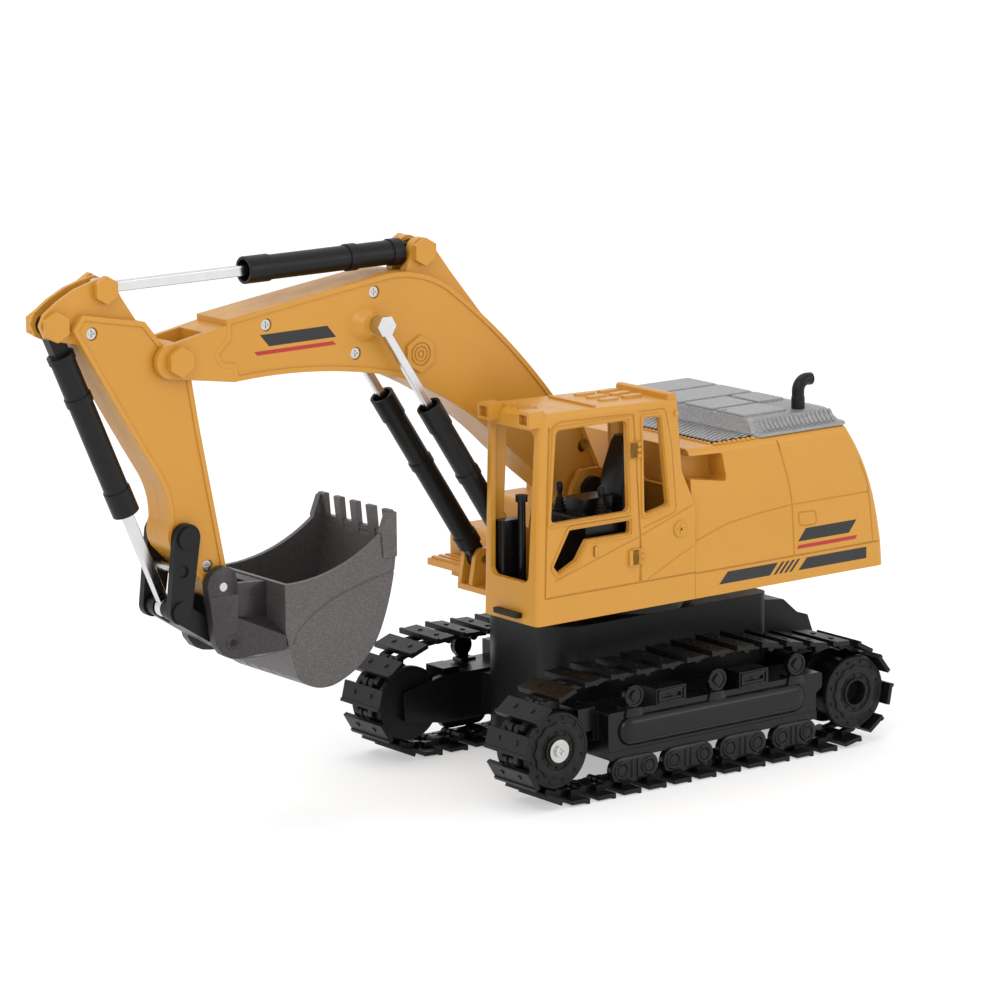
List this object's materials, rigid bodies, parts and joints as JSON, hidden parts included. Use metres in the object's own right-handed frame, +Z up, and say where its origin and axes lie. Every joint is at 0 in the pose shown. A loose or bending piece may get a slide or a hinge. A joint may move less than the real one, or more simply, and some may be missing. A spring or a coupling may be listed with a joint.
{
  "type": "toy excavator",
  "caption": "Toy crawler excavator on two link tracks, with a swinging cab and house, a jointed boom, arm and bucket, and hydraulic-style cylinders that follow them.",
  "frame": {"origin": "on the ground, on the axis that the house swings about", "axes": "+X forward towards the boom and bucket, +Y to the machine's left (the cab's side), +Z up"},
  "size_m": [0.3461, 0.115, 0.2074],
  "materials": {
    "yellow_plastic": "gloss",
    "black_plastic": "satin",
    "rod_metal": "polished",
    "screw_steel": "bright",
    "bucket_metal": "metallic grey paint",
    "bracket_metal": "metallic grey paint",
    "hood_grey": "metallic grey",
    "mesh_grey": "silver and black mesh",
    "cell_sleeve": "shrink sleeve",
    "board_green": "solder mask"
  },
  "bodies": {
    "undercarriage": {"chassis": "black_plastic", "chassis_screws": "screw_steel", "battery_cover": "black_plastic", "battery_pack": "cell_sleeve", "turntable_base": "black_plastic", "track_frame_left": "black_plastic", "track_frame_right": "black_plastic", "track_belt_left": "black_plastic", "track_belt_right": "black_plastic", "idler_screws": "screw_steel", "drive_gearboxes": "black_plastic"},
    "idler_left": {"idler_wheel_left": "black_plastic"},
    "idler_right": {"idler_wheel_right": "black_plastic"},
    "drive_left": {"drive_wheel_left": "black_plastic"},
    "drive_right": {"drive_wheel_right": "black_plastic"},
    "switch": {"power_switch": "black_plastic"},
    "house": {"turntable_ring": "black_plastic", "house_base": "yellow_plastic", "house_shell": "yellow_plastic", "cab_shell": "yellow_plastic", "roof_inlays": "hood_grey", "front_step": "black_plastic", "right_deck": "yellow_plastic", "hood_cover": "hood_grey", "mesh_grille": "mesh_grey", "exhaust_pipe": "black_plastic", "cab_seat": "black_plastic", "cab_console": "black_plastic", "control_levers": "black_plastic", "cab_column": "black_plastic", "boom_gearbox": "black_plastic", "circuit_board": "board_green", "boom_foot_pin": "black_plastic", "cylinder_foot_pins": "screw_steel"},
    "boom": {"boom_left": "yellow_plastic", "boom_right": "yellow_plastic", "boom_tip": "yellow_plastic", "boom_screws": "screw_steel", "boom_tip_bolt": "yellow_plastic", "elbow_bolt": "yellow_plastic", "boom_rod_pin": "rod_metal"},
    "boom_barrels": {"boom_barrel_left": "black_plastic", "boom_barrel_right": "black_plastic"},
    "boom_rods": {"boom_rod_left": "rod_metal", "boom_rod_right": "rod_metal"},
    "arm_barrel": {"arm_barrel": "black_plastic"},
    "arm_rod": {"arm_rod": "rod_metal"},
    "arm": {"arm_left": "yellow_plastic", "arm_right": "yellow_plastic", "arm_bracket": "yellow_plastic", "arm_screws": "screw_steel", "arm_bolts": "yellow_plastic"},
    "bucket_barrel": {"bucket_barrel": "black_plastic"},
    "bucket_rod": {"bucket_rod": "rod_metal"},
    "rocker": {"rocker_links": "black_plastic", "rocker_pins": "screw_steel"},
    "bucket_link": {"bucket_link": "black_plastic"},
    "bucket": {"bucket": "bucket_metal", "bucket_bracket": "bracket_metal", "bucket_pins": "screw_steel"}
  },
  "joints": [
    {"name": "idler_left_spin", "type": "hinge", "parent": "undercarriage", "child": "idler_left", "pos_m": [0.0736, 0.045, 0.0217], "axis": [0, 1, 0], "continuous": true},
    {"name": "idler_right_spin", "type": "hinge", "parent": "undercarriage", "child": "idler_right", "pos_m": [0.0736, -0.045, 0.0217], "axis": [0, 1, 0], "continuous": true},
    {"name": "drive_left_spin", "type": "hinge", "parent": "undercarriage", "child": "drive_left", "pos_m": [-0.0715, 0.045, 0.0207], "axis": [0, 1, 0], "continuous": true},
    {"name": "drive_right_spin", "type": "hinge", "parent": "undercarriage", "child": "drive_right", "pos_m": [-0.0715, -0.045, 0.0207], "axis": [0, 1, 0], "continuous": true},
    {"name": "power_switch", "type": "slide", "parent": "undercarriage", "child": "switch", "axis": [1, 0, 0], "range_m": [0, 0.0026]},
    {"name": "swing", "type": "hinge", "parent": "undercarriage", "child": "house", "pos_m": [0, 0, 0.065], "axis": [0, 0, 1], "continuous": true},
    {"name": "boom_lift", "type": "hinge", "parent": "house", "child": "boom", "pos_m": [0.024, 0, 0.106], "axis": [0, -1, 0], "range_deg": [-18, 12]},
    {"name": "arm_swing", "type": "hinge", "parent": "boom", "child": "arm", "pos_m": [0.2046, 0, 0.1741], "axis": [0, -1, 0], "range_deg": [-12, 30]},
    {"name": "bucket_tilt", "type": "hinge", "parent": "arm", "child": "bucket", "pos_m": [0.189, 0, 0.0917], "axis": [0, -1, 0], "range_deg": [-8, 60]},
    {"name": "boom_barrels_pivot", "type": "hinge", "parent": "house", "child": "boom_barrels", "pos_m": [0.057, 0, 0.08], "axis": [0, -1, 0], "range_deg": [-18.25, 12.33]},
    {"name": "boom_rods_pivot", "type": "hinge", "parent": "boom", "child": "boom_rods", "pos_m": [0.1213, 0, 0.1787], "axis": [0, -1, 0], "range_deg": [-0.67, 0.75]},
    {"name": "arm_barrel_pivot", "type": "hinge", "parent": "boom", "child": "arm_barrel", "pos_m": [0.0964, 0, 0.2022], "axis": [0, -1, 0], "range_deg": [-2.56, 5.66]},
    {"name": "arm_rod_pivot", "type": "hinge", "parent": "arm", "child": "arm_rod", "pos_m": [0.2313, 0, 0.2015], "axis": [0, -1, 0], "range_deg": [-25.34, 10.44]},
    {"name": "rocker_pivot", "type": "hinge", "parent": "arm", "child": "rocker", "pos_m": [0.203, 0, 0.111], "axis": [0, -1, 0], "range_deg": [-6.5, 45.5]},
    {"name": "bucket_link_pivot", "type": "hinge", "parent": "rocker", "child": "bucket_link", "pos_m": [0.2065, 0, 0.085], "axis": [0, -1, 0], "range_deg": [-35.9, 5.22]},
    {"name": "bucket_barrel_pivot", "type": "hinge", "parent": "arm", "child": "bucket_barrel", "pos_m": [0.2517, 0, 0.1907], "axis": [0, -1, 0], "range_deg": [-1.48, 7.82]},
    {"name": "bucket_rod_pivot", "type": "hinge", "parent": "rocker", "child": "bucket_rod", "pos_m": [0.2065, 0, 0.085], "axis": [0, -1, 0], "range_deg": [-38.18, 5.52]}
  ],
  "couplings": [
    {"joint": "idler_left_spin", "follows": "drive_left_spin", "ratio": 1},
    {"joint": "idler_right_spin", "follows": "drive_right_spin", "ratio": 1},
    {"joint": "boom_barrels_pivot", "follows": "boom_lift", "ratio": 0.986},
    {"joint": "boom_rods_pivot", "follows": "boom_lift", "ratio": -0.014},
    {"joint": "arm_barrel_pivot", "follows": "arm_swing", "ratio": 0.172},
    {"joint": "arm_rod_pivot", "follows": "arm_swing", "ratio": -0.828},
    {"joint": "rocker_pivot", "follows": "bucket_tilt", "ratio": 0.75},
    {"joint": "bucket_link_pivot", "follows": "bucket_tilt", "ratio": -0.59},
    {"joint": "bucket_barrel_pivot", "follows": "bucket_tilt", "ratio": 0.122},
    {"joint": "bucket_rod_pivot", "follows": "bucket_tilt", "ratio": -0.628}
  ]
}
